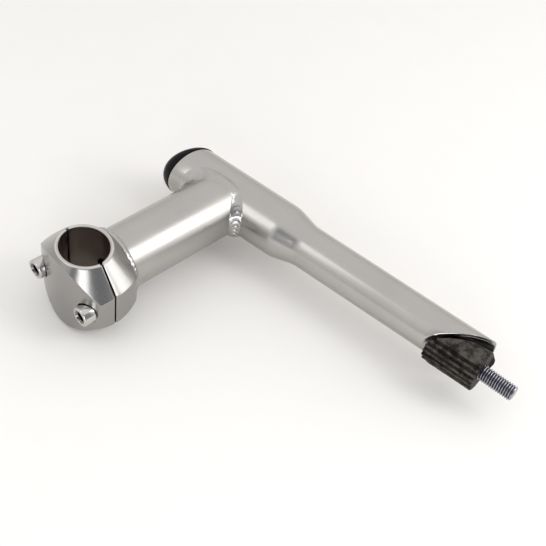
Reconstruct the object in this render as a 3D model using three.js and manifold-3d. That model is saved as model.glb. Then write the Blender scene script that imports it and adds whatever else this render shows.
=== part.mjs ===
// Quill stem for a bicycle handlebar: a swaged quill tube that clamps in a 1 inch steerer,
// a welded extension tube, and a two-piece clamp for a 25.4 mm handlebar.
// Units are millimetres. +X runs down the quill from the cap to the expander wedge, -Y points
// forward to the handlebar, and +Z runs along the handlebar. The origin is under the middle of
// the bounding box, on the plane of the clamp's lower face.
import * as THREE from 'three';
import { mergeVertices } from 'three/addons/utils/BufferGeometryUtils.js';
import Module from 'manifold-3d';

const wasm = await Module();
wasm.setup();

// ---- Driving dimensions ----

const gap = 0.3;                    // clearance kept between neighbouring solids
const far = 400;                    // larger than anything in the model

const roundSides = 48;              // facets round the large tubes
const clampSides = 64;              // round the handlebar seat and the clamp's shoulders
const capSides = 40;
const screwSides = 28;
const holeSides = 20;
const washerSides = 32;

const quillRadius = 14.3;           // 28.6 mm upper quill
const steererRadius = 11.1;         // 22.2 mm lower quill, fits a 1 inch steerer
const quillWall = 1.9;
const quillTop = -26.5;             // top cut, measured on the quill axis from the junction
const topCutAngle = 15;             // tilt of the top cut, away from square
const swageStart = 33;
const swageEnd = 50;
const swageEase = 0.25;             // share of the taper that eases in, and again out
const quillCut = 141.5;             // oblique cut, on the quill axis
const obliqueAngle = 34;            // between the oblique cut and the quill axis
const quillTip = 153.4;             // blunt tip at the long side of the oblique cut

const reach = 91;                   // junction to the middle of the clamp
const riseAngle = 10;               // extension rises this far from square to the quill
const extensionRadius = 15.9;       // 31.8 mm extension tube
const extensionWall = 2.2;
const crestTrim = 5.6;              // the extension stops here where it is wider than the quill
const weldLeg = 4.2;                // half width of the bead at the quill, along the extension
const weldThickness = 3.8;          // its thickness in the corners beside the extension
const weldCrest = 0.8;              // and over the crest
const weldLift = 0.4;               // its centre line clears the extension and the trim by this
const clampWeldRadius = 2.4;

const barRadius = 12.7;             // 25.4 mm handlebar seat
const clampWidth = 45;              // along the handlebar
const closure = 1.0;                // each clamp half sits this far towards the other
const slot = 0.8;                   // split between the clamp halves
const rimRadius = 14.3;             // outer edge of the flat rims beside the bar
const coneSlope = 1.27;             // drop of the conical shoulders per unit of radius
const clampBack = -16;              // rear face of the clamp body
const sideHalf = 24.5;              // greatest half width across the bolts
const sideArcRadius = 32;           // plan curve of the clamp's sides
const sideArcCenter = 1;            // widest point, forward of the clamp's middle
const frontArcRadius = 47;          // gently curved front of the faceplate
const frontCrown = 14.6;            // front of the faceplate at its middle
const ventRadius = 4.7;             // hole from the bar seat back into the extension tube

const boltSpread = 17.8;            // faceplate bolts, each side of the middle
const boltSeatHeight = 9.6;         // spotface level on the faceplate
const threadDepth = 8.2;            // blind threaded holes in the clamp body
const spotfaceRadius = 5.7;
const m6 = { radius: 3, headRadius: 5, headHeight: 6, socket: 5, socketDepth: 3.2, length: 16 };
const m8 = { radius: 4, headRadius: 6.5, headHeight: 8, socket: 6, socketDepth: 4.2, length: 184 };
const headChamfer = 0.5;
const tipChamfer = 0.25;            // share of the shank's radius
const washerThickness = 1.6;
const washerRadius = 9;

const seatLevel = -8;               // shoulder that carries the expander bolt head
const seatThickness = 5;
const seatHoleRadius = 5.2;

const wedgeRadius = 10.3;
const wedgeEnd = 155.6;             // lower face of the wedge
const wedgeCut = 141.3;             // its oblique face, on its own axis
const wedgeTip = 128.2;             // blunt thin end
const wedgeOffset = -5.3;           // loose wedge hangs forward of the quill axis
const wedgeTurn = 12;               // and is turned on the bolt, degrees
const ribCount = 7;
const ribPitch = 16.4;              // degrees between ribs
const ribWidth = 9;                 // degrees
const ribDepth = 0.8;
const valleyFloor = 0.4;            // share of the space between ribs that is at full depth

const capRadius = 14.5;             // slightly proud of the quill
const capRise = 6.7;                // crown of the cap above the top cut
const capTilt = 5.4;                // extra thickness of the cap at its front
const capFullness = 2.35;           // exponent of the crown; 2 is an ellipse
const capPlugDepth = 6;

// ---- Derived values ----

const radians = THREE.MathUtils.degToRad;
const topSlope = Math.tan(radians(topCutAngle));
const obliqueSlope = 1 / Math.tan(radians(obliqueAngle));
const quillBore = steererRadius - quillWall;
const upperBore = quillRadius - quillWall;
const halfWidth = clampWidth / 2;
const headLevel = seatLevel - washerThickness - 3 * gap;
const boltTilt = Math.atan2(-wedgeOffset, wedgeEnd - headLevel);
const extensionAngle = -Math.PI / 2 - radians(riseAngle);

// ---- Solids ----

function toSolid(geometry) {
  const bare = geometry.clone();
  bare.deleteAttribute('normal');
  bare.deleteAttribute('uv');
  const merged = mergeVertices(bare, 1e-4);
  return new wasm.Manifold(new wasm.Mesh({
    numProp: 3,
    vertProperties: new Float32Array(merged.attributes.position.array),
    triVerts: new Uint32Array(merged.index.array),
  }));
}

function toGeometry(solid) {
  const mesh = solid.getMesh();
  const positions = new Float32Array(mesh.vertProperties);
  const geometry = new THREE.BufferGeometry();
  geometry.setAttribute('position', new THREE.BufferAttribute(positions, 3));
  geometry.setIndex(new THREE.BufferAttribute(new Uint32Array(mesh.triVerts), 1));
  return geometry;
}

// Turned solid about +X. The profile is a list of [x, radius] along the outside in the direction
// of +X; a tube's profile comes back along the bore and closes on itself.
function turned(profile, sides = roundSides) {
  const points = profile.map(([x, radius]) => new THREE.Vector2(radius, x));
  return new THREE.LatheGeometry(points, sides).rotateZ(-Math.PI / 2);
}

function rod(from, to, radius, sides = roundSides) {
  return toSolid(turned([[from, 0], [from, radius], [to, radius], [to, 0]], sides));
}

function ring(from, to, outer, inner, sides = roundSides) {
  return turned([[from, inner], [from, outer], [to, outer], [to, inner], [from, inner]], sides);
}

// Half space on the -X side of a plane through [x, 0, 0], tilted so that it lies at x + slope * y.
function below(x, slope = 0) {
  const block = new THREE.BoxGeometry(far, far, far).translate(-far / 2, 0, 0);
  block.rotateZ(-Math.atan(slope));
  return toSolid(block.translate(x, 0, 0));
}

function part(name, geometry, material) {
  const mesh = new THREE.Mesh(geometry, material);
  mesh.name = name;
  return mesh;
}

function finish(color, roughness, metalness) {
  return new THREE.MeshStandardMaterial({ color, roughness, metalness });
}

const satinAluminium = finish(0xc8c7c2, 0.32, 1);
const weldAluminium = finish(0xbdbcb6, 0.4, 1);
const clampAluminium = finish(0xc2c1bb, 0.28, 1);
const chromedSteel = finish(0xcfcfcf, 0.12, 1);
const zincSteel = finish(0x9a9ba6, 0.35, 1);
const castIron = finish(0x4b453f, 0.7, 0.6);
const blackPlastic = finish(0x0c0c0d, 0.45, 0);

// ---- Quill ----

// Straight taper with eased ends, as the share of the drop done at t along the swage.
function swageDrop(t) {
  const pitch = 1 / (1 - swageEase);
  if (t < swageEase) return pitch * t ** 2 / (2 * swageEase);
  if (t > 1 - swageEase) return 1 - pitch * (1 - t) ** 2 / (2 * swageEase);
  return pitch * (t - swageEase / 2);
}

// One wall of the quill, from past its top to past its tip.
function quillProfile(upper, lower) {
  const steps = 8;
  const points = [[quillTop - far, upper]];
  for (let i = 0; i <= steps; i += 1) {
    const t = i / steps;
    const x = swageStart + t * (swageEnd - swageStart);
    points.push([x, upper - (upper - lower) * swageDrop(t)]);
  }
  points.push([quillTip + far, lower]);
  return points;
}

function quillTube() {
  const outside = quillProfile(quillRadius, steererRadius);
  const inside = quillProfile(upperBore, quillBore).reverse();
  const tube = toSolid(turned([...outside, ...inside, outside[0]]));
  return toGeometry(tube
    .subtract(below(quillTop, topSlope))
    .intersect(below(quillCut, obliqueSlope))
    .intersect(below(quillTip)));
}

function boltSeat() {
  return ring(seatLevel, seatLevel + seatThickness, upperBore - gap, seatHoleRadius);
}

// Domed plug. Its underside follows the tilted top cut, and its crown is thicker at the front.
function topCap() {
  const steps = 8;
  const profile = [[0, 0]];
  for (let i = 0; i <= steps; i += 1) {
    const angle = (i / steps) * Math.PI / 2;
    const height = Math.sin(angle) ** (2 / capFullness);
    profile.push([height, Math.max(Math.cos(angle), 0) ** (2 / capFullness)]);
  }
  profile[profile.length - 1][1] = 0;
  const dome = turned(profile, capSides);
  const position = dome.attributes.position;
  const normalX = -Math.cos(radians(topCutAngle));
  const normalY = Math.sin(radians(topCutAngle));
  for (let i = 0; i < position.count; i += 1) {
    const y = position.getY(i) * capRadius;
    const z = position.getZ(i) * capRadius;
    const rise = gap + position.getX(i) * (capRise - capTilt * position.getY(i));
    position.setXYZ(i, quillTop + topSlope * y + rise * normalX, y + rise * normalY, z);
  }
  dome.index.array.reverse();
  const plug = rod(quillTop - far / 2, quillTop + capPlugDepth, upperBore - gap, capSides);
  const plugTop = below(quillTop - 2 * gap, topSlope);
  return toGeometry(toSolid(dome).add(plug.subtract(plugTop)));
}

// ---- Extension, built along +X from the junction towards the handlebar ----

// Space taken by the quill, seen from the extension's frame.
function quillEnvelope(radius) {
  return rod(-far, far, radius).rotate([0, 0, -THREE.MathUtils.radToDeg(extensionAngle)]);
}

// Half space further forward than the quill's crest, in the extension's frame.
function beyondCrest(distance) {
  const block = new THREE.BoxGeometry(far, far, far).translate(far / 2, 0, 0);
  return toSolid(block.translate(distance, 0, 0).rotateZ(radians(riseAngle)));
}

function extensionTube() {
  const length = reach + clampBack - gap;
  const tube = toSolid(ring(0, length, extensionRadius, extensionRadius - extensionWall));
  const shaped = tube.subtract(quillEnvelope(quillRadius + gap)).intersect(beyondCrest(crestTrim));
  return toGeometry(shaped);
}

// Bead that follows the saddle between the two tubes. It is a ring bent along the joint line.
function quillWeld() {
  const lineRadius = extensionRadius + weldLift;
  const minForward = crestTrim + weldLift;
  const tilt = radians(riseAngle);
  const beadRadius = 0.5;
  const bead = new THREE.TorusGeometry(1, beadRadius, 10, 64);
  const position = bead.attributes.position;
  const point = new THREE.Vector3();
  for (let i = 0; i < position.count; i += 1) {
    point.fromBufferAttribute(position, i);
    const angle = Math.atan2(point.y, point.x);
    const thickness = weldCrest + (weldThickness - weldCrest) * Math.cos(angle) ** 2;
    const outward = (Math.hypot(point.x, point.y) - 1) / beadRadius * thickness;
    const along = point.z / beadRadius * weldLeg;
    const side = lineRadius * Math.cos(angle);
    const height = lineRadius * Math.sin(angle);
    const forward = Math.sqrt(Math.max(quillRadius ** 2 - height ** 2, minForward ** 2));
    const x = (forward - side * Math.sin(tilt)) / Math.cos(tilt) + along;
    const y = side + outward * Math.cos(angle);
    const z = height + outward * Math.sin(angle);
    position.setXYZ(i, x, y, z);
  }
  const sleeve = rod(-far, far, extensionRadius + gap).intersect(beyondCrest(crestTrim - gap));
  return toGeometry(toSolid(bead).subtract(quillEnvelope(quillRadius + gap)).subtract(sleeve));
}

function clampWeld() {
  const bead = new THREE.TorusGeometry(extensionRadius, clampWeldRadius, 8, roundSides);
  const face = reach + clampBack - gap;
  const solid = toSolid(bead.rotateY(Math.PI / 2).translate(face, 0, 0));
  return toGeometry(solid.subtract(rod(-far, far, extensionRadius + gap)).intersect(below(face)));
}

// ---- Clamp, built round its own middle, with +X forward and +Z along the handlebar ----

// Plan outline of the clamp: curved front, gently bowed sides and a flat rear face.
function clampOutline() {
  const steps = 9;
  const sideCenter = sideHalf - sideArcRadius;
  const frontCenter = frontCrown - frontArcRadius;
  const reachTo = (from, to, t) => from + (to - from) * t;
  const sideAt = (u) => sideCenter + Math.sqrt(sideArcRadius ** 2 - (u - sideArcCenter) ** 2);
  const frontAt = (v) => frontCenter + Math.sqrt(frontArcRadius ** 2 - v ** 2);
  const settle = 20;
  let corner = frontAt(sideHalf);
  for (let i = 0; i < settle; i += 1) corner = frontAt(sideAt(corner));
  const upper = [];
  for (let i = 0; i <= steps; i += 1) {
    const u = reachTo(corner, clampBack, i / steps);
    upper.push(new THREE.Vector2(u, sideAt(u)));
  }
  const front = [];
  for (let i = 1; i < 2 * steps; i += 1) {
    const v = reachTo(-sideAt(corner), sideAt(corner), i / (2 * steps));
    front.push(new THREE.Vector2(frontAt(v), v));
  }
  const lower = upper.map((point) => new THREE.Vector2(point.x, -point.y)).reverse();
  return new THREE.Shape([...upper, ...lower, ...front]);
}

// Blank with flat rims and conical shoulders turned about the bar axis, bored for the bar.
function clampBlank(center) {
  const widest = rimRadius + halfWidth / coneSlope;
  const profile = [[-halfWidth, 0], [-halfWidth, rimRadius], [0, widest], [halfWidth, rimRadius],
    [halfWidth, 0]];
  const plan = new THREE.ExtrudeGeometry(clampOutline(), { depth: far, bevelEnabled: false });
  const shoulders = toSolid(turned(profile, clampSides));
  const bore = rod(-far, far, barRadius, clampSides);
  const round = shoulders.subtract(bore).rotate([0, -90, 0]).translate([center, 0, 0]);
  return toSolid(plan.translate(0, 0, -far / 2)).intersect(round);
}

function slab(from, to) {
  return toSolid(new THREE.BoxGeometry(to - from, far, far).translate((from + to) / 2, 0, 0));
}

function onBoltAxis(solid, side) {
  return solid.translate([0, side * boltSpread, 0]);
}

function clampBody() {
  let body = clampBlank(closure).intersect(slab(-far, -slot / 2));
  for (const side of [-1, 1]) {
    body = body.subtract(onBoltAxis(rod(-threadDepth, far, m6.radius + gap, holeSides), side));
  }
  return toGeometry(body.subtract(rod(clampBack - 1, closure, ventRadius, holeSides)));
}

function faceplate() {
  let plate = clampBlank(-closure).intersect(slab(slot / 2, far));
  for (const side of [-1, 1]) {
    plate = plate.subtract(onBoltAxis(rod(-far, far, m6.radius + gap, holeSides), side));
    plate = plate.subtract(onBoltAxis(rod(boltSeatHeight, far, spotfaceRadius), side));
  }
  return toGeometry(plate);
}

// ---- Fasteners, along +X from the tip to the top of the head ----

function socketScrew({ radius, headRadius, headHeight, socket, socketDepth, length }) {
  const chamfer = radius * tipChamfer;
  const outline = [[-length, 0], [-length, radius - chamfer], [-length + chamfer, radius],
    [0, radius], [0, headRadius], [headHeight - headChamfer, headRadius],
    [headHeight, headRadius - headChamfer], [headHeight, 0]];
  const corner = socket / Math.sqrt(3);
  const hexagon = new THREE.CylinderGeometry(corner, corner, far, 6).rotateZ(Math.PI / 2);
  const key = toSolid(hexagon.translate(far / 2 + headHeight - socketDepth, 0, 0));
  return toGeometry(toSolid(turned(outline, screwSides)).subtract(key));
}

function washer() {
  return ring(0, washerThickness, washerRadius, m8.radius + gap, washerSides);
}

// ---- Expander wedge, along +X ----

// Section of the wedge: ribs round one side of a circle, with flat-bottomed valleys between.
function ribbedOutline() {
  const plainSteps = 32;
  const half = radians(ribWidth) / 2;
  const flank = (radians(ribPitch) / 2 - half) * valleyFloor;
  const valleyRadius = wedgeRadius - ribDepth;
  const first = -(ribCount - 1) / 2;
  const points = [];
  for (let rib = 0; rib < ribCount; rib += 1) {
    const middle = radians((first + rib) * ribPitch);
    const valley = middle + radians(ribPitch) / 2;
    points.push([middle - half, wedgeRadius], [middle + half, wedgeRadius]);
    if (rib < ribCount - 1) {
      points.push([valley - flank, valleyRadius], [valley + flank, valleyRadius]);
    }
  }
  const start = points[points.length - 1][0];
  const end = points[0][0] + 2 * Math.PI;
  for (let i = 1; i < plainSteps; i += 1) {
    points.push([start + (end - start) * i / plainSteps, wedgeRadius]);
  }
  return new THREE.Shape(points.map(([angle, radius]) => (
    new THREE.Vector2(radius * Math.sin(angle), -radius * Math.cos(angle))
  )));
}

function expanderWedge() {
  const bar = new THREE.ExtrudeGeometry(ribbedOutline(), { depth: far, bevelEnabled: false });
  const blank = toSolid(bar.rotateY(Math.PI / 2).translate(wedgeEnd - far, 0, 0));
  const wedge = blank
    .subtract(below(wedgeCut, obliqueSlope))
    .subtract(below(wedgeTip))
    .rotate([-wedgeTurn, 0, 0])
    .translate([0, wedgeOffset, 0]);
  const boltHole = rod(-far, far, m8.radius + gap, screwSides)
    .rotate([0, 0, -THREE.MathUtils.radToDeg(boltTilt)])
    .translate([headLevel, 0, 0]);
  return toGeometry(wedge.subtract(boltHole));
}

// ---- Assembly ----

const stem = new THREE.Group();
stem.add(part('quill_tube', quillTube(), satinAluminium));
stem.add(part('bolt_seat', boltSeat(), weldAluminium));
stem.add(part('top_cap', topCap(), blackPlastic));
stem.add(part('expander_wedge', expanderWedge(), castIron));

// The expander bolt leans from its seat to the hanging wedge.
const expander = new THREE.Group();
expander.position.set(headLevel, 0, 0);
expander.rotation.z = -boltTilt;
const expanderBolt = part('expander_bolt', socketScrew(m8), zincSteel);
expanderBolt.rotation.z = Math.PI;
const expanderWasher = part('expander_washer', washer(), zincSteel);
expanderWasher.position.x = gap;
expander.add(expanderBolt, expanderWasher);
stem.add(expander);

const extension = new THREE.Group();
extension.rotation.z = extensionAngle;
extension.add(part('extension_tube', extensionTube(), satinAluminium));
extension.add(part('quill_weld', quillWeld(), weldAluminium));
extension.add(part('clamp_weld', clampWeld(), weldAluminium));
stem.add(extension);

const clamp = new THREE.Group();
clamp.position.x = reach;
clamp.add(part('clamp_body', clampBody(), clampAluminium));
clamp.add(part('clamp_faceplate', faceplate(), clampAluminium));
for (const [name, side] of [['upper', -1], ['lower', 1]]) {
  const plateBolt = part(`faceplate_bolt_${name}`, socketScrew(m6), chromedSteel);
  plateBolt.position.set(boltSeatHeight + gap, side * boltSpread, 0);
  clamp.add(plateBolt);
}
extension.add(clamp);

// Move the origin under the middle of the bounding box.
const bounds = new THREE.Box3().setFromObject(stem, true);
const middle = bounds.getCenter(new THREE.Vector3());
stem.position.set(-middle.x, -middle.y, -bounds.min.z);

export default stem;
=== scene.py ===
"""Looks for a bicycle quill stem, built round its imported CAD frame."""

import math

import bmesh
import bpy
from mathutils import Matrix, Vector, noise


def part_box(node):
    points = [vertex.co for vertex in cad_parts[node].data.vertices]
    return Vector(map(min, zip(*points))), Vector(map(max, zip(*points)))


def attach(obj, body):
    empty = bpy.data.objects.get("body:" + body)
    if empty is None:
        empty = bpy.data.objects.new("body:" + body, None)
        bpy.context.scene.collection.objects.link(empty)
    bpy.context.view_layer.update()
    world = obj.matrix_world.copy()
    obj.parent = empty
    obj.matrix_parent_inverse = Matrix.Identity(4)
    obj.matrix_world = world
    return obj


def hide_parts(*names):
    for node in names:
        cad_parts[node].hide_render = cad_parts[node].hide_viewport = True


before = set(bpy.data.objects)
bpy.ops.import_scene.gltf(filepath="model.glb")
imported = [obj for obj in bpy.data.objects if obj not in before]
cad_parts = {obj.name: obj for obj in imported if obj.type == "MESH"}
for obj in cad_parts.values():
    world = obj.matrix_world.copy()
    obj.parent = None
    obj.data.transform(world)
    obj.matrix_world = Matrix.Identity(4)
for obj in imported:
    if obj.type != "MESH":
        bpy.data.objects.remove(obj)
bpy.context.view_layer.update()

# ---- Dimensions in millimetres, from the junction of the quill and extension axes ----

GAP = 0.3                                                # between separate pieces
QUILL_R, STEERER_R, WALL = 14.3, 11.1, 1.9               # above the swage, below it, tube wall
TOP_CUT, TOP_SLOPE = -26.5, math.tan(math.radians(15))   # top face on the axis, its slope
SWAGE = (33.0, 50.0)                                     # start and end of the taper
EASE = 0.25                                              # share of the taper eased at each end
CUT, CUT_SLOPE, TIP = 141.5, 1 / math.tan(math.radians(34)), 153.4   # oblique lower end
TOP_EDGE, LOW_EDGE, BORE_EDGE = 0.3, 0.5, 0.25           # rounding of the tube's ends
REACH, RISE, EXT_R, EXT_WALL = 91.0, math.radians(10), 15.9, 2.2     # extension, to the bar's axis
CREST = 5.6                                              # the joint's least forward reach
BAR_R, HALF_W = 12.7, 22.5                               # handlebar bore, half the clamp's height
CLOSURE, SLOT = 1.0, 0.8                                 # offset of each bore's centre, slot width
RIM_R, CONE, BACK = 14.3, 1.27, -16.0                    # flat rim, fall of the shoulder, back face
SIDE_HALF, SIDE_ARC, SIDE_C = 24.5, 32.0, 1.0            # clamp's sides: half width, arc, widest point
FRONT_ARC, CROWN = 47.0, 14.6                            # faceplate's front: arc, furthest point
BOLT_V, SEAT_U, SPOT_R = 17.8, 9.6, 5.7                  # screws' places, seats and spot faces
TAP_R, SCREW_REACH = 3.3, -8.2                           # screw holes' radius and blind end
VENT_R = 4.7                                             # hole from the bar's seat to the extension
CAP_R, CAP_RISE, CAP_LEAN = 14.48, 6.7, 5.4              # cap's radius, dome height and its lean
CAP_POWER, PLUG_R = 2 / 2.35, 12.1                       # fullness of the dome, plug's radius
SCREW_R, SCREW_PITCH, SCREW_LENGTH = 3.0, 1.0, 16        # M6
BOLT_R, BOLT_PITCH, BOLT_LENGTH, BOLT_PLAIN = 4.0, 1.25, 184, 112    # M8, with its plain shank
SCREW_HEAD, BOLT_HEAD = (5, 6, 5, 3.2), (6.5, 8, 6, 4.2)             # radius, height, key, depth
HEAD_EDGE, INTO_HEAD = 0.4, 0.05                         # chamfer, overlap of the shank and head
HEAD_X, WEDGE_END, WEDGE_Y = -10.5, 155.6, -5.3          # bolt's seat, wedge's end and offset
WEDGE_R, WEDGE_CUT, WEDGE_TIP = 10.3, 141.3, 128.2       # radius, oblique face, blunt edge
WEDGE_TURN, WEDGE_BORE_R, WEDGE_EDGE = math.radians(-12), 4.3, 0.35  # turn, bore, rounding
RIBS_EACH_SIDE, RIB_PITCH, RIB_DEPTH = 3, math.radians(16.4), 0.95
PUDDLE, CLAMP_PUDDLES = 3.0, 34                          # weld ripples: length, number round the clamp
SHARP, CLAMP_SHARP, HEAD_SHARP = 32, 26, 38              # edges stay sharp from these degrees
TUBE_SHARP, WELD_SHARP, CAP_SHARP, WEDGE_SHARP = 50, 60, 45, 40

low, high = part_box("quill_tube")
wedge_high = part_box("expander_wedge")[1]
JUNCTION = Vector((wedge_high.x - WEDGE_END / 1000, (low.y + high.y) / 2, (low.z + high.z) / 2))
FORWARD = Vector((-math.sin(RISE), -math.cos(RISE), 0))
ACROSS = Vector((math.cos(RISE), -math.sin(RISE), 0))
UP = Vector((0, 0, 1))
BOLT_TILT = math.atan2(-WEDGE_Y, WEDGE_END - HEAD_X)
BOLT_DIR = Vector((math.cos(BOLT_TILT), -math.sin(BOLT_TILT), 0))


def quill(x, y, z):
    return Vector((x, y, z))


def ext(t, s, z):
    return FORWARD * t + ACROSS * s + UP * z


def clamp(u, v, w):
    return ext(REACH + u, v, w)


def on_axis(origin, axis, x, radius, angle):
    """A point at x along an axis, radius away from it."""
    side = axis.cross(UP).normalized()
    return origin + axis * x + (side * math.cos(angle) + UP * math.sin(angle)) * radius


def blend(a, b, t):
    return a + (b - a) * t


def smooth(t):
    t = max(0.0, min(1.0, t))
    return t * t * (3 - 2 * t)


# ---- Mesh building ----

def build(name, loops, closed=False, caps=(False, False), sharp=SHARP):
    """A skin over loops of points: closed joins the last loop to the first, caps fill the end loops."""
    bm = bmesh.new()
    rows = [[bm.verts.new(JUNCTION + p / 1000) for p in loop] for loop in loops]
    pairs = list(zip(rows, rows[1:])) + ([(rows[-1], rows[0])] if closed else [])
    for a, b in pairs:
        for i in range(len(a)):
            j = (i + 1) % len(a)
            bm.faces.new((a[i], a[j], b[j], b[i]))
    if caps[0]:
        bm.faces.new(rows[0][::-1])
    if caps[1]:
        bm.faces.new(rows[-1])
    bmesh.ops.remove_doubles(bm, verts=bm.verts, dist=2e-7)
    bmesh.ops.dissolve_degenerate(bm, edges=bm.edges, dist=1e-7)
    bmesh.ops.recalc_face_normals(bm, faces=bm.faces)
    if bm.calc_volume(signed=True) < 0:
        bmesh.ops.reverse_faces(bm, faces=bm.faces)
    mesh = bpy.data.meshes.new(name)
    bm.to_mesh(mesh)
    bm.free()
    obj = bpy.data.objects.new(name, mesh)
    bpy.context.scene.collection.objects.link(obj)
    shade(obj, sharp)
    return obj


def shade(obj, sharp):
    obj.data.shade_smooth()
    obj.data.set_sharp_from_angle(angle=math.radians(sharp))


def lathe(name, origin, axis, profile, sides=96, closed=True, **options):
    """A turned piece; profile is a list of (x, radius), and radius may be a function of the angle."""
    loops = []
    for x, radius in profile:
        loop = []
        for k in range(sides):
            angle = 2 * math.pi * k / sides
            r = radius(angle) if callable(radius) else radius
            loop.append(on_axis(origin, axis, x, r, angle))
        loops.append(loop)
    return build(name, loops, closed=closed, **options)


def weld_seams(mesh, near=1e-7):
    """Splits each open edge where the ends of other open edges lie on it, then joins them."""
    bm = bmesh.new()
    bm.from_mesh(mesh)
    open_edges = [e for e in bm.edges if e.is_boundary]
    ends = {v for e in open_edges for v in e.verts}
    for edge in open_edges:
        a, b = edge.verts
        start, span = a.co.copy(), b.co - a.co
        shares = sorted((v.co - start).dot(span) / span.length_squared for v in ends
                        if v not in (a, b) and (v.co - start).cross(span).length / span.length < near)
        done = 0.0
        for share in shares:
            if 1e-5 < share < 1 - 1e-5 and share - done > 1e-5:
                edge, corner = bmesh.utils.edge_split(edge, a, (share - done) / (1 - done))
                edge = next(e for e in corner.link_edges if b in e.verts)
                a, done = corner, share
    bmesh.ops.remove_doubles(bm, verts=bm.verts, dist=2 * near)
    bm.to_mesh(mesh)
    bm.free()


def cut(obj, cutter, sharp=SHARP):
    """Takes the cutter out of obj, and deletes the cutter."""
    modifier = obj.modifiers.new("cut", "BOOLEAN")
    modifier.operation = "DIFFERENCE"
    modifier.solver = "EXACT"
    modifier.object = cutter
    graph = bpy.context.evaluated_depsgraph_get()
    mesh = bpy.data.meshes.new_from_object(obj.evaluated_get(graph))
    weld_seams(mesh)
    obj.modifiers.clear()
    old = obj.data
    obj.data = mesh
    bpy.data.meshes.remove(old)
    bpy.data.objects.remove(cutter)
    shade(obj, sharp)


def finish_piece(obj, body, node, material):
    obj.data.materials.clear()
    obj.data.materials.append(material)
    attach(obj, body)
    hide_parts(node)
    return obj


# ---- Materials ----

class Nodes:
    """A node material with object coordinates that can be turned and stretched along a grain."""

    def __init__(self, name, metallic=1.0):
        self.material = bpy.data.materials.new(name)
        self.material.use_nodes = True
        self.tree = self.material.node_tree
        self.shader = self.tree.nodes["Principled BSDF"]
        self.shader.inputs["Metallic"].default_value = metallic
        self.coords = self.tree.nodes.new("ShaderNodeTexCoord")
        self.bumps = None

    def link(self, a, b):
        self.tree.links.new(a, b)

    def mapped(self, scale, turn=0.0):
        first = self.tree.nodes.new("ShaderNodeMapping")
        first.inputs["Rotation"].default_value = (0, 0, turn)
        self.link(self.coords.outputs["Object"], first.inputs["Vector"])
        second = self.tree.nodes.new("ShaderNodeMapping")
        second.inputs["Scale"].default_value = scale
        self.link(first.outputs["Vector"], second.inputs["Vector"])
        return second.outputs["Vector"]

    def radius(self, origin, turn=0.0):
        """Distance from an axis through origin that lies in the XY plane, turned from +X."""
        there = self.tree.nodes.new("ShaderNodeMapping")
        there.inputs["Location"].default_value = -origin
        self.link(self.coords.outputs["Object"], there.inputs["Vector"])
        level = self.tree.nodes.new("ShaderNodeMapping")
        level.inputs["Rotation"].default_value = (0, 0, turn)
        self.link(there.outputs["Vector"], level.inputs["Vector"])
        flat = self.tree.nodes.new("ShaderNodeVectorMath")
        flat.operation = "MULTIPLY"
        flat.inputs[1].default_value = (0, 1, 1)
        self.link(level.outputs["Vector"], flat.inputs[0])
        length = self.tree.nodes.new("ShaderNodeVectorMath")
        length.operation = "LENGTH"
        self.link(flat.outputs[0], length.inputs[0])
        return length.outputs["Value"]

    def place(self, axis):
        split = self.tree.nodes.new("ShaderNodeSeparateXYZ")
        self.link(self.coords.outputs["Object"], split.inputs[0])
        return split.outputs[axis]

    def noise(self, vector, scale, detail=3.0, rough=0.5, distortion=0.0):
        node = self.tree.nodes.new("ShaderNodeTexNoise")
        node.inputs["Scale"].default_value = scale
        node.inputs["Detail"].default_value = detail
        node.inputs["Roughness"].default_value = rough
        node.inputs["Distortion"].default_value = distortion
        self.link(vector, node.inputs["Vector"])
        return node.outputs["Fac"]

    def ramp(self, value, low, high, a, b):
        node = self.tree.nodes.new("ShaderNodeMapRange")
        node.inputs["From Min"].default_value = low
        node.inputs["From Max"].default_value = high
        node.inputs["To Min"].default_value = a
        node.inputs["To Max"].default_value = b
        self.link(value, node.inputs["Value"])
        return node.outputs["Result"]

    def math(self, operation, a, b):
        node = self.tree.nodes.new("ShaderNodeMath")
        node.operation = operation
        for socket, value in zip(node.inputs, (a, b)):
            if isinstance(value, (int, float)):
                socket.default_value = value
            else:
                self.link(value, socket)
        return node.outputs["Value"]

    def mix(self, factor, a, b):
        node = self.tree.nodes.new("ShaderNodeMix")
        node.data_type = "RGBA"
        self.link(factor, node.inputs["Factor"])
        for socket, value in ((node.inputs["A"], a), (node.inputs["B"], b)):
            if isinstance(value, tuple):
                socket.default_value = (*value, 1)
            else:
                self.link(value, socket)
        return node.outputs["Result"]

    def bump(self, height, distance, strength=1.0):
        node = self.tree.nodes.new("ShaderNodeBump")
        node.inputs["Distance"].default_value = distance
        node.inputs["Strength"].default_value = strength
        self.link(height, node.inputs["Height"])
        if self.bumps:
            self.link(self.bumps, node.inputs["Normal"])
        self.bumps = node.outputs["Normal"]

    def done(self, color, roughness):
        self.link(color, self.shader.inputs["Base Color"])
        self.link(roughness, self.shader.inputs["Roughness"])
        if self.bumps:
            self.link(self.bumps, self.shader.inputs["Normal"])
        return self.material


def shaded(color, factor):
    return tuple(min(1.0, c * factor) for c in color)


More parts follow.
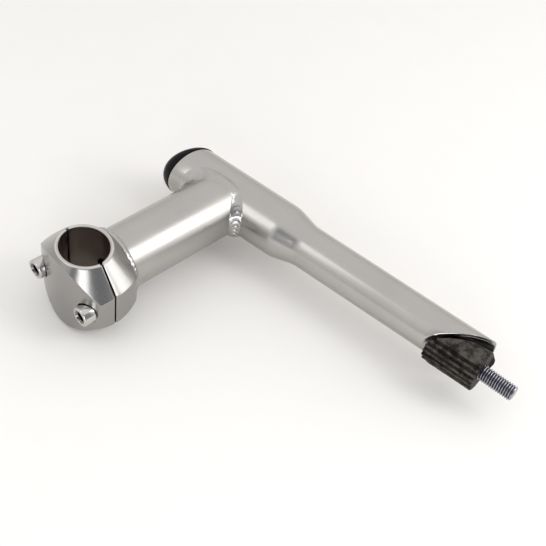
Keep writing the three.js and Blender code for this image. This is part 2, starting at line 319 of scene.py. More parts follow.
def satin_metal(name, color, roughness, turn, stretch, grain=0.5, spread=0.06, cloud=0.06, marks=()):
    """Satin metal with drawn lines along its own length, soft cloudiness, and marks that lay painted shade
    and painted light on given areas.
    """
    n = Nodes(name)
    along = n.mapped(stretch, turn)
    lines = n.noise(along, 2600, 4, 0.6)
    clouds = n.noise(n.coords.outputs["Object"], 45, 3, 0.5)
    specks = n.noise(n.coords.outputs["Object"], 1500, 2, 0.5)
    tone = n.mix(n.ramp(clouds, 0.3, 0.7, 0, 1), shaded(color, 1 - cloud), shaded(color, 1 + cloud))
    tone = n.mix(n.ramp(lines, 0.35, 0.65, 0, grain * 0.3), tone, shaded(color, 0.86))
    base = n.ramp(lines, 0.3, 0.7, roughness - spread, roughness + spread)
    base = n.math("ADD", base, n.ramp(clouds, 0.3, 0.7, -0.03, 0.03))
    for mask, there in marks:
        tone = n.mix(mask(n), tone, there)
    n.bump(lines, 0.000012 * grain)
    n.bump(specks, 0.000002)
    return n.done(tone, base)


def weld_metal(name, color):
    n = Nodes(name)
    fine = n.noise(n.coords.outputs["Object"], 900, 4, 0.6)
    broad = n.noise(n.coords.outputs["Object"], 160, 3, 0.5)
    tone = n.mix(n.ramp(broad, 0.35, 0.7, 0, 1), color, shaded(color, 0.86))
    n.bump(fine, 0.00002)
    return n.done(tone, n.ramp(fine, 0.3, 0.7, 0.17, 0.3))


def cast_iron(name):
    color = (0.005, 0.0045, 0.004)
    n = Nodes(name, 0.55)
    broad = n.noise(n.coords.outputs["Object"], 300, 4, 0.6)
    fine = n.noise(n.coords.outputs["Object"], 1500, 4, 0.65)
    pits = n.noise(n.coords.outputs["Object"], 520, 3, 0.5)
    tone = n.mix(n.ramp(broad, 0.42, 0.62, 0, 1), color, (0.03, 0.026, 0.022))
    # Lighter in broad patches where the wedge reaches its full radius, on the rib crests and its plain
    # side, so the grooves stay darker.
    reach = n.radius(JUNCTION + Vector((0, WEDGE_Y, 0)) / 1000)
    crest_lightening = n.math("MULTIPLY", n.ramp(reach, 0.0097, 0.0102, 0, 1), n.ramp(broad, 0.4, 0.62, 0.12, 1))
    tone = n.mix(crest_lightening, tone, (0.085, 0.075, 0.064))
    n.bump(pits, 0.0007)
    n.bump(fine, 0.0002)
    n.shader.inputs["Specular IOR Level"].default_value = 0.3
    return n.done(tone, n.ramp(fine, 0.3, 0.7, 0.42, 0.72))


def plastic(name):
    color = (0.004, 0.004, 0.005)
    n = Nodes(name, 0.0)
    grain = n.noise(n.coords.outputs["Object"], 2600, 3, 0.6)
    marks = n.noise(n.mapped((1, 6, 6)), 120, 3, 0.6, 0.4)
    tone = n.mix(n.ramp(marks, 0.5, 0.75, 0, 1), color, (0.007, 0.0075, 0.009))
    n.bump(grain, 0.000025)
    n.shader.inputs["Specular IOR Level"].default_value = 0.1
    return n.done(tone, n.ramp(marks, 0.3, 0.7, 0.26, 0.38))


SATIN = (0.455, 0.44, 0.42)
DRAWN = (0.02, 1, 1)


# Painted shade: the quill's bore wall is coloured near black in place of the shade inside the tube.
def bore_painted_shade(n):
    bore = STEERER_R - WALL
    return n.ramp(n.radius(JUNCTION), (bore + 0.1) / 1000, (bore + 0.3) / 1000, 1, 0)


# Painted highlight: the clamp's two flat rim faces are coloured lighter and warmer than the rest of the
# clamp.
def rim_painted_highlight(n):
    away = n.math("ABSOLUTE", n.math("SUBTRACT", n.place("Z"), JUNCTION.z), 0)
    return n.ramp(away, (HALF_W - 0.15) / 1000, (HALF_W - 0.05) / 1000, 0, 1)


def bar_seat_painted_light(n):
    """Painted light: the bar's seat is coloured lighter and warmer, within the bar's radius of its axis,
    away from the rims.
    """
    middle = JUNCTION + clamp(0, 0, 0) / 1000
    east, north = (n.math("POWER", n.math("SUBTRACT", n.place(axis), middle[k]), 2)
                   for k, axis in enumerate("XY"))
    return n.ramp(n.math("POWER", n.math("ADD", east, north), 0.5),
                  (BAR_R + 0.02) / 1000, (BAR_R + 0.08) / 1000, 1, 0)


def socket_painted_shade(n, inner, outer):
    """Painted shade round both faceplate screws' axes."""
    near = [n.radius(JUNCTION + clamp(0, side * BOLT_V, 0) / 1000, math.pi / 2 + RISE) for side in (-1, 1)]
    return n.ramp(n.math("MINIMUM", *near), inner, outer, 1, 0)


# Painted shade in the mouth and on the floor of each hex socket.
def socket_mouth_painted_shade(n):
    return socket_painted_shade(n, 0.00335, 0.0035)


def socket_floor_painted_shade(n):
    return socket_painted_shade(n, 0.0024, 0.0028)


def thread_root_painted_shade(n):
    """Painted shade between the crests of the expander bolt, short of its flat tip."""
    start = JUNCTION + quill(HEAD_X, 0, 0) / 1000
    reach = n.radius(start, BOLT_TILT)
    tip = (start + BOLT_DIR * BOLT_LENGTH / 1000).x
    deep = n.ramp(reach, (BOLT_R - 0.6) / 1000, (BOLT_R - 0.1) / 1000, 1, 0)
    return n.math("MULTIPLY", deep, n.ramp(n.place("X"), tip - 0.0012, tip - 0.0008, 1, 0))


quill_metal = satin_metal("quill_satin", SATIN, 0.25, 0.0, DRAWN, 0.3, 0.03, 0.03,
                          [(bore_painted_shade, (0.027, 0.026, 0.025))])
extension_metal = satin_metal("extension_satin", SATIN, 0.3, math.radians(100), DRAWN, 0.3, 0.03, 0.03)
clamp_metal = satin_metal("clamp_satin", (0.335, 0.327, 0.316), 0.24, 0.0, (1, 1, 0.12), 0.3, 0.03, 0.03,
                          [(rim_painted_highlight, (0.6, 0.585, 0.56)), (bar_seat_painted_light, (0.52, 0.47, 0.43))])
weld_bead = weld_metal("weld_bead", (0.46, 0.45, 0.435))
screw_chrome = satin_metal("screw_chrome", (0.56, 0.545, 0.52), 0.11, RISE, (1, 0.1, 1), 0.3, 0.02, 0.06,
                           [(socket_mouth_painted_shade, (0.2, 0.19, 0.2)), (socket_floor_painted_shade, (0.09, 0.085, 0.09))])
zinc = satin_metal("zinc_steel", (0.34, 0.345, 0.39), 0.22, 0.0, (0.6, 1, 1), 0.6, 0.06, 0.15,
                   [(thread_root_painted_shade, (0.085, 0.086, 0.098))])
wedge_iron = cast_iron("cast_wedge")
cap_plastic = plastic("black_plastic")

# ---- Quill ----

SIDES = 160


def swage_radius(x, large, small):
    """Straight taper with eased ends."""
    t = max(0.0, min(1.0, (x - SWAGE[0]) / (SWAGE[1] - SWAGE[0])))
    pitch = 1 / (1 - EASE)
    if t < EASE:
        drop = pitch * t ** 2 / (2 * EASE)
    elif t > 1 - EASE:
        drop = 1 - pitch * (1 - t) ** 2 / (2 * EASE)
    else:
        drop = pitch * (t - EASE / 2)
    return large - (large - small) * drop


def top_plane(y):
    return TOP_CUT + TOP_SLOPE * y


def low_plane(y):
    return min(CUT + CUT_SLOPE * y, TIP)


def make_quill():
    """The tube's outside, its lower face, its bore and its top face, with rounded edges."""
    stations = [(i / 10, "top") for i in range(11)]
    stations += [(i / 20, "swage") for i in range(1, 21)]
    stations += [(i / 16, "low") for i in range(1, 17)]
    ends = {top_plane: (QUILL_R, TOP_EDGE, TOP_SLOPE, 1), low_plane: (STEERER_R, LOW_EDGE, CUT_SLOPE, -1)}

    def ring(offset, x_at):
        loop = []
        for k in range(SIDES):
            angle = 2 * math.pi * k / SIDES
            c, s = math.cos(angle), math.sin(angle)
            x = x_at(c)
            r = swage_radius(x, QUILL_R, STEERER_R) - offset
            loop.append(quill(x, r * c, r * s))
        return loop

    def wall(offset, edge):
        def limit(plane, c):
            radius, _, slope, inward = ends[plane]
            return plane((radius - offset) * c) + inward * edge * math.hypot(1, slope)

        def x_at(t, zone, c):
            if zone == "top":
                return blend(limit(top_plane, c), SWAGE[0], t)
            if zone == "swage":
                return blend(SWAGE[0], SWAGE[1], t)
            return blend(SWAGE[1], limit(low_plane, c), t)

        return [ring(offset, lambda c, t=t, zone=zone: x_at(t, zone, c)) for t, zone in stations]

    def face(plane):
        radius, edge, slope, inward = ends[plane]
        loops = []
        for depth, back in ((0.3, 0.3), (1, 0), (WALL / edge - 0.5, 0)):
            loop = []
            for k in range(SIDES):
                angle = 2 * math.pi * k / SIDES
                r = radius - depth * edge
                y, z = r * math.cos(angle), r * math.sin(angle)
                loop.append(quill(plane(y) + inward * back * edge * math.hypot(1, slope), y, z))
            loops.append(loop)
        return loops

    outside, bore = wall(0, LOW_EDGE), wall(WALL, BORE_EDGE)[::-1]
    return build("quill", outside + face(low_plane) + bore + face(top_plane)[::-1], closed=True,
                 sharp=TUBE_SHARP)


finish_piece(make_quill(), "stem", "quill_tube", quill_metal)

finish_piece(
    lathe("seat_ring", Vector((0, 0, 0)), Vector((1, 0, 0)),
          [(-7.7, 5.2), (-8, 5.5), (-8, 11.7), (-7.6, 12.1), (-3.4, 12.1), (-3, 11.7), (-3, 5.5),
           (-3.3, 5.2)]),
    "stem", "bolt_seat", quill_metal)

# ---- Cap ----


def make_cap():
    loops = []
    normal = Vector((-math.cos(math.radians(15)), math.sin(math.radians(15)), 0))
    steps = 26

    def ring(rho, rise):
        loop = []
        for k in range(SIDES):
            angle = 2 * math.pi * k / SIDES
            y, z = CAP_R * rho * math.cos(angle), CAP_R * rho * math.sin(angle)
            height = GAP + rise * (CAP_RISE - CAP_LEAN * y / CAP_R)
            loop.append(quill(top_plane(y), y, z) + normal * height)
        return loop

    def plug(x_at, radius):
        return [quill(x_at(radius * math.cos(2 * math.pi * k / SIDES)),
                      radius * math.cos(2 * math.pi * k / SIDES),
                      radius * math.sin(2 * math.pi * k / SIDES)) for k in range(SIDES)]

    for i in range(steps):
        a = math.pi / 2 * (1 - i / steps)
        rise = math.sin(a) ** CAP_POWER
        rho = max(math.cos(a), 0.0) ** CAP_POWER
        loops.append(ring(max(rho, 0.004), rise))
    loops.append(ring(1.0, 0.045))
    loops.append(ring(1.0, 0.0))
    loops.append(ring(0.985, 0.0))
    loops.append(plug(lambda y: top_plane(y) - GAP, PLUG_R))
    for depth, radius in ((5.4, PLUG_R), (6, 11.5), (6, 9.6), (5, 9.3), (4.2, 0.1)):
        loops.append(plug(lambda y, depth=depth: TOP_CUT + depth, radius))
    return build("cap", loops, caps=(True, True), sharp=CAP_SHARP)


finish_piece(make_cap(), "cap", "top_cap", cap_plastic)

# ---- Extension ----


def saddle(s, z, radius=QUILL_R):
    """Distance along the extension where it meets the quill."""
    forward = math.sqrt(max(radius ** 2 - z ** 2, CREST ** 2))
    return (forward - s * math.sin(RISE)) / math.cos(RISE)


def make_extension():
    steps = 24
    end = REACH + BACK - GAP
    loops = []
    for radius, order in ((EXT_R, range(steps + 1)), (EXT_R - EXT_WALL, range(steps, -1, -1))):
        for i in order:
            loop = []
            for k in range(SIDES):
                phi = 2 * math.pi * k / SIDES
                s, z = radius * math.cos(phi), radius * math.sin(phi)
                loop.append(ext(blend(saddle(s, z, QUILL_R + GAP), end, i / steps), s, z))
            loops.append(loop)
    return build("extension", loops, closed=True)


finish_piece(make_extension(), "stem", "extension_tube", extension_metal)


def hump(angle, centre, width):
    away = (angle - centre + math.pi) % (2 * math.pi) - math.pi
    return math.exp(-(away / width) ** 2)


def ripple(phase):
    """Overlapping round puddles."""
    t = 2 * (phase % 1.0) - 1
    return math.sqrt(max(0.0, 1 - 0.97 * t * t))


def make_quill_weld():
    """Bead from a toe on the extension to a toe on the quill. It is dressed smooth over the crest
    and keeps its ripples in the corners."""
    around, across = 720, 22
    toes, length, last = [], 0.0, None
    for k in range(around):
        phi = 2 * math.pi * k / around
        c, s = math.cos(phi), math.sin(phi)
        side, height = EXT_R * c, EXT_R * s
        corner_t = saddle(side, height)
        cap_side = hump(phi, math.radians(135), 0.5) + hump(phi, math.radians(225), 0.5)
        leg = 3.4 + 1.0 * s * s + 2.6 * cap_side
        a = ext(corner_t + leg, side * 1.001, height * 1.001)
        x = -2.5 - 2.0 * s * s + (20.3 if c > 0 else 21.2) * math.copysign(abs(c) ** 0.75, c)
        beta = math.radians(81) * math.copysign(abs(s) ** 0.95, s)
        q = quill(x, -QUILL_R * 0.999 * math.cos(beta), QUILL_R * 0.999 * math.sin(beta))
        corner = ext(corner_t, side, height)
        mid = (a + q) / 2
        if last is not None:
            length += (mid - last).length
        last = mid
        toes.append((phi, a, q, corner, length))
    total = length + (toes[0][1] + toes[0][2] - toes[-1][1] - toes[-1][2]).length / 2
    count = round(total / PUDDLE)
    loops = []
    for phi, a, q, corner, run in toes:
        rough = max(hump(phi, math.radians(-48), 0.85), hump(phi, math.radians(-132), 0.8),
                    hump(phi, math.radians(-4), 0.48), hump(phi, math.radians(-90), 0.6))
        rough = min(1.0, 1.15 * rough)
        mid = (a + q) / 2
        direction = (ACROSS * math.cos(phi) + UP * math.sin(phi) + Vector((0, -0.25, 0))).normalized()
        control = blend(mid, corner, blend(0.8, 0.25, rough)) + direction * (1.0 * rough)
        skin = []
        for i in range(across + 1):
            t = i / across
            p = a * (1 - t) ** 2 + control * (2 * t * (1 - t)) + q * t ** 2
            crown = math.sin(math.pi * t)
            arc = 0.8 * (2 * t - 1) ** 2
            wave = ripple(count * run / total + arc) - 0.35
            grind = noise.noise(p * 0.35) * 0.1 + noise.noise(p * 1.1) * 0.03
            dressed = 0.16 * (1 - rough) * crown ** 0.35
            lift = 1.0 * rough * wave * crown ** 0.7 + grind * crown + dressed
            skin.append(p + direction * lift)
        floor = [blend(skin[-1], skin[0], i / 6) - direction * (1.5 * math.sin(math.pi * i / 6))
                 for i in range(1, 6)]
        loops.append(skin + [blend(p, corner, 0.45) for p in floor])
    return build("quill_bead", loops, closed=True, sharp=WELD_SHARP)


finish_piece(make_quill_weld(), "stem", "quill_weld", weld_bead)


def make_clamp_weld():
    around, across = 540, 14
    face = REACH + BACK - GAP
    loops = []
    for k in range(around):
        phi = 2 * math.pi * k / around
        c, s = math.cos(phi), math.sin(phi)
        width = 2.9 + 0.25 * noise.noise(Vector((c * 2, s * 2, 3)))
        skin = []
        for i in range(across + 1):
            t = i / across
            a = math.pi / 2 * t
            wave = ripple(CLAMP_PUDDLES * k / around + 0.35 * (2 * t - 1) ** 2) - 0.4
            lift = 2.3 * math.sin(a) ** 0.9 + 0.32 * wave * math.sin(math.pi * t) ** 0.6
            back = width * math.cos(a) ** 0.9
            radius = EXT_R + 0.02 + lift
            skin.append(ext(face - back, radius * c, radius * s))
        skin.append(ext(face, (EXT_R + 0.02) * c, (EXT_R + 0.02) * s))
        loops.append(skin)
    return build("clamp_bead", loops, closed=True, sharp=WELD_SHARP)


finish_piece(make_clamp_weld(), "stem", "clamp_weld", weld_bead)

# ---- Clamp ----


def side_at(u):
    return SIDE_HALF - SIDE_ARC + math.sqrt(SIDE_ARC ** 2 - (u - SIDE_C) ** 2)


def front_at(v):
    return CROWN - FRONT_ARC + math.sqrt(FRONT_ARC ** 2 - v ** 2)


def plan_front():
    """Outline of the faceplate from the slot at one side, round the front, to the slot at the other."""
    corner = front_at(SIDE_HALF)
    for _ in range(20):
        corner = front_at(side_at(corner))
    v_corner = side_at(corner)
    fillet = 0.45
    us = [blend(SLOT / 2, corner - fillet, t) for t in (0, 0.07, 0.14, 0.26, 0.45, 0.65, 0.85, 0.95, 1)]
    points = [(u, side_at(u)) for u in us]
    start = Vector((corner - fillet, side_at(corner - fillet)))
    v_next = v_corner - fillet
    end = Vector((front_at(v_next), v_next))
    apex = Vector((corner, v_corner))
    for t in (0.25, 0.5, 0.75):
        p = start * (1 - t) ** 2 + apex * (2 * t * (1 - t)) + end * t ** 2
        points.append((p.x, p.y))
    count = len(points)
    for t in [0, 0.02, 0.06] + [i / 26 for i in range(3, 24)] + [0.94, 0.98, 1]:
        v = blend(v_next, -v_next, t)
        points.append((front_at(v), v))
    return points + [(u, -v) for u, v in reversed(points[:count])]


def plan_back():
    """Outline of the clamp body from the slot, round the back, to the slot."""
    fillet = 0.8
    v_corner = side_at(BACK)
    us = [blend(-SLOT / 2, BACK + fillet, t) for t in
          (0, 0.05, 0.1, 0.18, 0.29, 0.4, 0.52, 0.64, 0.76, 0.88, 0.96, 1)]
    points = [(u, side_at(u)) for u in us]
    start = Vector((BACK + fillet, side_at(BACK + fillet)))
    end = Vector((BACK, v_corner - fillet))
    apex = Vector((BACK, v_corner))
    for t in (0.25, 0.5, 0.75):
        p = start * (1 - t) ** 2 + apex * (2 * t * (1 - t)) + end * t ** 2
        points.append((p.x, p.y))
    count = len(points)
    for t in [0, 0.03] + [i / 30 for i in range(2, 29)] + [0.97, 1]:
        points.append((BACK, blend(end.y, -end.y, t)))
    return points + [(u, -v) for u, v in reversed(points[:count])]


def section(outer, inner, centre):
    """One upright slice of a clamp half, as a loop of (u, v, w): up the bore, over the rim, down the
    shoulder and side, and back under."""
    o, i, c = Vector(outer), Vector(inner), Vector((centre, 0))
    direction = o - i

    def at_radius(radius):
        d, m = direction, i - c
        aa, bb, cc = d.dot(d), 2 * m.dot(d), m.dot(m) - radius ** 2
        t = (-bb + math.sqrt(max(bb * bb - 4 * aa * cc, 0))) / (2 * aa)
        return i + d * min(t, 1.0)

    reach_out = (o - c).length
    edge = HALF_W - CONE * (reach_out - RIM_R)
    soft, bevel = 0.35, 0.3
    half = []
    for t in (0, 0.35, 0.7, 0.93, 1):
        half.append((i, blend(0, HALF_W - bevel, t)))
    half.append((at_radius((i - c).length + bevel * 0.3), HALF_W - bevel * 0.3))
    half.append((at_radius((i - c).length + bevel), HALF_W))
    half.append((at_radius(RIM_R - 0.25), HALF_W))
    half.append((at_radius(RIM_R + 0.02), HALF_W - 0.09))
    half.append((at_radius(RIM_R + 0.24), HALF_W - 0.24 * CONE))
    for t in (0.08, 0.25, 0.42, 0.6, 0.78, 0.92):
        radius = blend(RIM_R, reach_out, t)
        half.append((at_radius(radius), HALF_W - CONE * (radius - RIM_R)))
    half.append((at_radius(reach_out - soft * 0.8), edge + soft * 0.8 * CONE))
    half.append((at_radius(reach_out - soft * 0.18), edge + soft * 0.14))
    half.append((o, edge - soft))
    for t in (0.9, 0.6, 0.3):
        half.append((o, edge * t))
    loop = [(p.x, p.y, w) for p, w in half]
    under = [(p.x, p.y, -w) for p, w in reversed(half[1:])]
    return loop + [(o.x, o.y, 0.0)] + under


def make_half(name, outline, centre):
    """Clamp half: sections swept along its plan outline, with softened edges at the slot."""
    slot_u = outline[0][0]
    v_in = math.sqrt(BAR_R ** 2 - (slot_u - centre) ** 2)
    inner_a = math.atan2(v_in, slot_u - centre)
    inner_b = math.atan2(-v_in, slot_u - centre)
    if centre > 0:
        inner_b += 2 * math.pi
    lengths = [0.0]
    for p, q in zip(outline, outline[1:]):
        lengths.append(lengths[-1] + math.dist(p, q))
    loops = []
    for p, run in zip(outline, lengths):
        a = blend(inner_a, inner_b, run / lengths[-1])
        inner = (centre + BAR_R * math.cos(a), BAR_R * math.sin(a))
        loops.append(section(p, inner, centre))
    towards = 1 if slot_u < 0 else -1
    soft = 0.45

    def rounded(loop):
        """Three loops that turn the corner from the plan outline into the slot's face."""
        flat = [Vector((v, w)) for _, v, w in loop]
        n = len(flat)
        area = sum(flat[k].x * flat[(k + 1) % n].y - flat[(k + 1) % n].x * flat[k].y for k in range(n))
        turned = []
        for share, back in ((1, 0), (0.12, 0.88), (0, 1.15)):
            inset = []
            for k in range(n):
                along = flat[(k + 1) % n] - flat[k - 1]
                normal = Vector((-along.y, along.x)).normalized() * (1 if area > 0 else -1)
                inset.append(flat[k] + normal * soft * share)
            turned.append([(slot_u - towards * soft * back, p.x, p.y) for p in inset])
        return turned

    loops = rounded(loops[0]) + loops[1:-1] + rounded(loops[-1])[::-1]
    solid = [[clamp(u, v, w) for u, v, w in loop] for loop in loops]
    return build(name, solid, caps=(True, True), sharp=CLAMP_SHARP)


BEYOND, INTO = 40, 5


def rod(origin, x_from, x_to, radius, sides=96):
    profile = [(x_from, radius), (x_to, radius)]
    return lathe("cutter", origin, FORWARD, profile, sides, closed=False, caps=(True, True))


plate = make_half("faceplate", plan_front(), -CLOSURE)
body = make_half("clamp_rear", plan_back(), CLOSURE)
for side in (-1, 1):
    axis_point = clamp(0, side * BOLT_V, 0)
    cut(plate, rod(axis_point, SEAT_U, BEYOND, SPOT_R), CLAMP_SHARP)
    cut(plate, rod(axis_point, -INTO, BEYOND, TAP_R, 48), CLAMP_SHARP)
    cut(body, rod(axis_point, SCREW_REACH, INTO, TAP_R, 48), CLAMP_SHARP)
cut(body, rod(clamp(0, 0, 0), BACK - 3, -8, VENT_R, 64), CLAMP_SHARP)
finish_piece(plate, "faceplate", "clamp_faceplate", clamp_metal)
finish_piece(body, "stem", "clamp_body", clamp_metal)

# ---- Screws ----


def hexagon(size):
    return lambda angle: size / 2 / math.cos((angle + math.pi / 6) % (math.pi / 3) - math.pi / 6)


def make_head(name, origin, axis, radius, height, size, depth):
    """Socket head along the axis, from its seat at 0 to its face at height."""
    key = hexagon(size)
    corner = size / math.sqrt(3)
    profile = [(0, 0.1), (0, radius - 0.25), (0.25, radius), (height - HEAD_EDGE * 1.5, radius),
               (height - HEAD_EDGE * 0.8, radius - 0.1),
               (height - HEAD_EDGE * 0.25, radius - HEAD_EDGE * 0.6),
               (height, radius - HEAD_EDGE * 1.3), (height, corner + 0.6), (height - 0.12, corner + 0.5),
               (height - 0.85, lambda a: key(a) + 0.05), (height - 1.0, key),
               (height - depth + 0.2, key), (height - depth, lambda a: key(a) - 0.2),
               (height - depth - 0.9, 0.12)]
    return lathe(name, origin, axis, profile, 96, closed=False, caps=(True, True), sharp=HEAD_SHARP)


def make_thread(name, origin, axis, length, radius, pitch, plain, sides=48):
    """A right-hand thread from a plain neck to a flat tip with a chamfer."""
    depth = 0.58 * pitch
    shape = [0, 0.04, 0.42, 0.92, 1, 0.92, 0.42, 0.04]
    steps = len(shape)
    rows = math.ceil((length - plain) / pitch * steps)
    side = axis.cross(UP).normalized()
    bottom = axis.cross(side)
    loops = []
    for x in [0] + [blend(plain, length, i / rows) for i in range(rows + 1)]:
        loop = []
        for k in range(sides):
            angle = 2 * math.pi * k / sides
            row = (x / pitch - k / sides) % 1 * steps
            share = blend(shape[int(row) % steps], shape[(int(row) + 1) % steps], row % 1)
            r = radius - depth * share * smooth((x - plain) / pitch)
            r = min(r, radius - depth * 0.95 + (length - x) * 0.9)
            loop.append(origin + axis * x + (side * math.cos(angle) + bottom * math.sin(angle)) * r)
        loops.append(loop)
    return build(name, loops, caps=(True, True), sharp=TUBE_SHARP)


for word, side in (("upper", -1), ("lower", 1)):
    seat = clamp(SEAT_U + GAP, side * BOLT_V, 0)
    body_name, node = word + "_faceplate_bolt", "faceplate_bolt_" + word
    head = make_head("screw_head_" + word, seat, FORWARD, *SCREW_HEAD)
    shank = make_thread("screw_thread_" + word, seat + FORWARD * INTO_HEAD, -FORWARD,
                        SCREW_LENGTH, SCREW_R, SCREW_PITCH, 0.5)
    for piece in (head, shank):
        finish_piece(piece, body_name, node, screw_chrome)

bolt_origin = quill(HEAD_X, 0, 0)
head = make_head("expander_head", bolt_origin, -BOLT_DIR, *BOLT_HEAD)
thread = make_thread("expander_thread", bolt_origin - BOLT_DIR * INTO_HEAD, BOLT_DIR,
                     BOLT_LENGTH, BOLT_R, BOLT_PITCH, BOLT_PLAIN)
for piece in (head, thread):
    finish_piece(piece, "expander", "expander_bolt", zinc)
washer = lathe("washer", bolt_origin, BOLT_DIR,
               [(0.45, 4.3), (0.3, 4.45), (0.3, 8.7), (0.5, 9), (1.7, 9), (1.9, 8.7), (1.9, 4.45),
                (1.75, 4.3)])
finish_piece(washer, "expander", "expander_washer", zinc)

# ---- Wedge ----


def wedge_point(x, y, z):
    """From the wedge's own frame, turned on its axis, to the junction frame."""
    c, s = math.cos(WEDGE_TURN), math.sin(WEDGE_TURN)
    return quill(x, y * c - z * s + WEDGE_Y, y * s + z * c)


def rib_radius(angle):
    """Seven ribs on the thin side, whose middle is at angle 180 degrees."""
    away = angle % (2 * math.pi) - math.pi
    index = round(away / RIB_PITCH)
    if abs(index) > RIBS_EACH_SIDE:
        index = math.copysign(RIBS_EACH_SIDE, index)
        if abs(away) > (RIBS_EACH_SIDE + 0.5) * RIB_PITCH:
            return WEDGE_R
    off = abs(away - index * RIB_PITCH) / RIB_PITCH
    valley = smooth((off - 0.13) / 0.27)
    if abs(away) > RIBS_EACH_SIDE * RIB_PITCH:
        valley = 0.0
    return WEDGE_R - RIB_DEPTH * valley


def make_wedge():
    sides = 480
    lengths = 36
    hole_y = lambda x: -(x - HEAD_X) * math.tan(BOLT_TILT) - WEDGE_Y
    loops = []

    def face_x(y):
        return max(WEDGE_CUT + CUT_SLOPE * y, WEDGE_TIP)

    def rough(p, amount=0.1):
        return p + Vector((noise.noise(p * 0.9), noise.noise(p * 0.9 + Vector((9, 0, 0))),
                           noise.noise(p * 0.9 + Vector((0, 9, 0))))) * amount

    angles = [2 * math.pi * k / sides for k in range(sides)]
    rings = 12
    c, s = math.cos(-WEDGE_TURN), math.sin(-WEDGE_TURN)

    def hole(angle, x):
        y, z = hole_y(x) + WEDGE_BORE_R * math.cos(angle), WEDGE_BORE_R * math.sin(angle)
        return y * c - z * s, y * s + z * c

    for i in range(rings + 1):
        t = i / rings
        loop = []
        for a in angles:
            r = rib_radius(a) - WEDGE_EDGE
            y, z = r * math.cos(a), r * math.sin(a)
            hy, hz = hole(a, WEDGE_CUT)
            py, pz = blend(hy, y, t), blend(hz, z, t)
            loop.append(rough(wedge_point(face_x(py), py, pz), 0.1 * smooth(4 * t)))
        loops.append(loop)
    for i in range(lengths + 1):
        t = i / lengths
        loop = []
        for a in angles:
            r = rib_radius(a)
            y, z = r * math.cos(a), r * math.sin(a)
            x = blend(face_x(y) + WEDGE_EDGE * 1.3, WEDGE_END - WEDGE_EDGE, t)
            loop.append(rough(wedge_point(x, y, z)))
        loops.append(loop)
    for i in range(5):
        t = i / 4
        loop = []
        for a in angles:
            r = rib_radius(a) - WEDGE_EDGE
            y, z = r * math.cos(a), r * math.sin(a)
            hy, hz = hole(a, WEDGE_END)
            p = wedge_point(WEDGE_END, blend(y, hy, t), blend(z, hz, t))
            if 0 < i < 4:
                p.x -= 0.05 + 0.05 * noise.noise(p * 0.8)
            loop.append(p)
        loops.append(loop)
    return build("wedge", loops, closed=True, sharp=WEDGE_SHARP)


finish_piece(make_wedge(), "wedge", "expander_wedge", wedge_iron)

# ---- Floor, light and camera ----

scene = bpy.context.scene


def area(name, place, target, size, power):
    data = bpy.data.lights.new(name, "AREA")
    data.shape = "RECTANGLE"
    data.size, data.size_y = size
    data.energy = power
    obj = bpy.data.objects.new(name, data)
    scene.collection.objects.link(obj)
    obj.location = place
    obj.rotation_euler = (Vector(target) - Vector(place)).to_track_quat("-Z", "Y").to_euler()
    obj.visible_camera = False


floor_mesh = bpy.data.meshes.new("floor")
floor_bm = bmesh.new()
bmesh.ops.create_grid(floor_bm, x_segments=1, y_segments=1, size=3)
floor_bm.to_mesh(floor_mesh)
floor_bm.free()
floor = bpy.data.objects.new("floor", floor_mesh)
scene.collection.objects.link(floor)
floor_nodes = Nodes("floor_paper", 0.0)
paper = floor_nodes.noise(floor_nodes.coords.outputs["Object"], 60, 3, 0.5)
tone = floor_nodes.mix(paper, (0.86, 0.84, 0.815), (0.88, 0.86, 0.835))
floor.data.materials.append(floor_nodes.done(tone, floor_nodes.ramp(paper, 0, 1, 0.85, 0.95)))


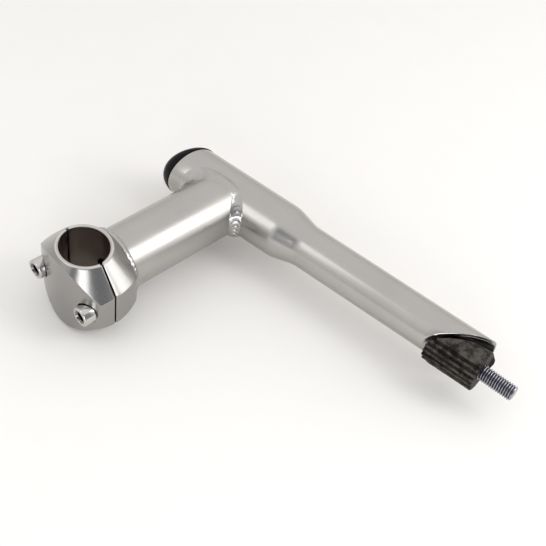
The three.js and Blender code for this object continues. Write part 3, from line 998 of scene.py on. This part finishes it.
def studio_world():
    """A pale tent, warmer low down, with its darker opening on the camera's side."""
    world = bpy.data.worlds.new("studio")
    world.use_nodes = True
    tree = world.node_tree
    sky = tree.nodes["Background"]
    coords = tree.nodes.new("ShaderNodeTexCoord")

    def part(kind, **values):
        node = tree.nodes.new(kind)
        for name, value in values.items():
            if hasattr(node, name):
                setattr(node, name, value)
            else:
                node.inputs[name.replace("_", " ")].default_value = value
        return node

    split = part("ShaderNodeSeparateXYZ")
    tree.links.new(coords.outputs["Generated"], split.inputs[0])
    flat = part("ShaderNodeVectorMath", operation="MULTIPLY")
    flat.inputs[1].default_value = (1, 1, 0)
    tree.links.new(coords.outputs["Generated"], flat.inputs[0])
    unit = part("ShaderNodeVectorMath", operation="NORMALIZE")
    tree.links.new(flat.outputs[0], unit.inputs[0])
    dot = part("ShaderNodeVectorMath", operation="DOT_PRODUCT")
    opening = math.radians(-42)
    dot.inputs[1].default_value = (math.cos(opening), math.sin(opening), 0)
    tree.links.new(unit.outputs[0], dot.inputs[0])
    across = part("ShaderNodeMapRange", interpolation_type="SMOOTHSTEP", From_Min=0.58, From_Max=0.70)
    tree.links.new(dot.outputs["Value"], across.inputs["Value"])
    above = part("ShaderNodeMapRange", interpolation_type="SMOOTHSTEP", From_Min=0.86, From_Max=0.74)
    tree.links.new(split.outputs["Z"], above.inputs["Value"])
    both = part("ShaderNodeMath", operation="MULTIPLY")
    tree.links.new(across.outputs["Result"], both.inputs[0])
    tree.links.new(above.outputs["Result"], both.inputs[1])
    rise = part("ShaderNodeMapRange", interpolation_type="SMOOTHSTEP", From_Min=-0.25, From_Max=0.65)
    tree.links.new(split.outputs["Z"], rise.inputs["Value"])
    tent = part("ShaderNodeMix", data_type="RGBA")
    tent.inputs["A"].default_value = (0.77, 0.74, 0.71, 1)
    tent.inputs["B"].default_value = (1.0, 1.0, 1.0, 1)
    tree.links.new(rise.outputs["Result"], tent.inputs["Factor"])
    whole = part("ShaderNodeMix", data_type="RGBA")
    whole.inputs["B"].default_value = (0.33, 0.345, 0.375, 1)
    tree.links.new(both.outputs["Value"], whole.inputs["Factor"])
    tree.links.new(tent.outputs["Result"], whole.inputs["A"])
    tree.links.new(whole.outputs["Result"], sky.inputs["Color"])
    return world


scene.world = studio_world()
area("key", (0.494, 0.232, 0.537), (-0.074, 0.003, 0.03), (0.26, 0.5), 1.4)
area("front", (0.36, -0.675, 0.255), (-0.08, -0.05, 0.03), (0.36, 0.5), 2.1)
area("side", (-0.256, -0.353, 0.39), (-0.03, 0.04, 0.02), (0.16, 0.32), 0.19)
area("back", (0.518, 0.478, 0.206), (-0.06, -0.05, 0.04), (0.43, 0.25), 0.9)

CAMERA = Vector((231.206, -336.082, 415.123))
BACKWARD = Vector((0.33415, -0.56490, 0.75447)).normalized()
ROLL = math.radians(9.9)
SENSOR, LENS = 36, 74.69
right = UP.cross(BACKWARD).normalized()
upward = BACKWARD.cross(right)
cam_right = right * math.cos(ROLL) + upward * math.sin(ROLL)
cam_up = upward * math.cos(ROLL) - right * math.sin(ROLL)
camera = bpy.data.objects.new("camera", bpy.data.cameras.new("camera"))
camera.data.sensor_width = SENSOR
camera.data.lens = LENS
camera.data.clip_start = 0.01
rotation = Matrix((cam_right, cam_up, BACKWARD)).transposed().to_4x4()
camera.matrix_world = Matrix.Translation(JUNCTION + CAMERA / 1000) @ rotation
scene.collection.objects.link(camera)
scene.camera = camera

scene.view_settings.view_transform = "Standard"
scene.view_settings.look = "None"
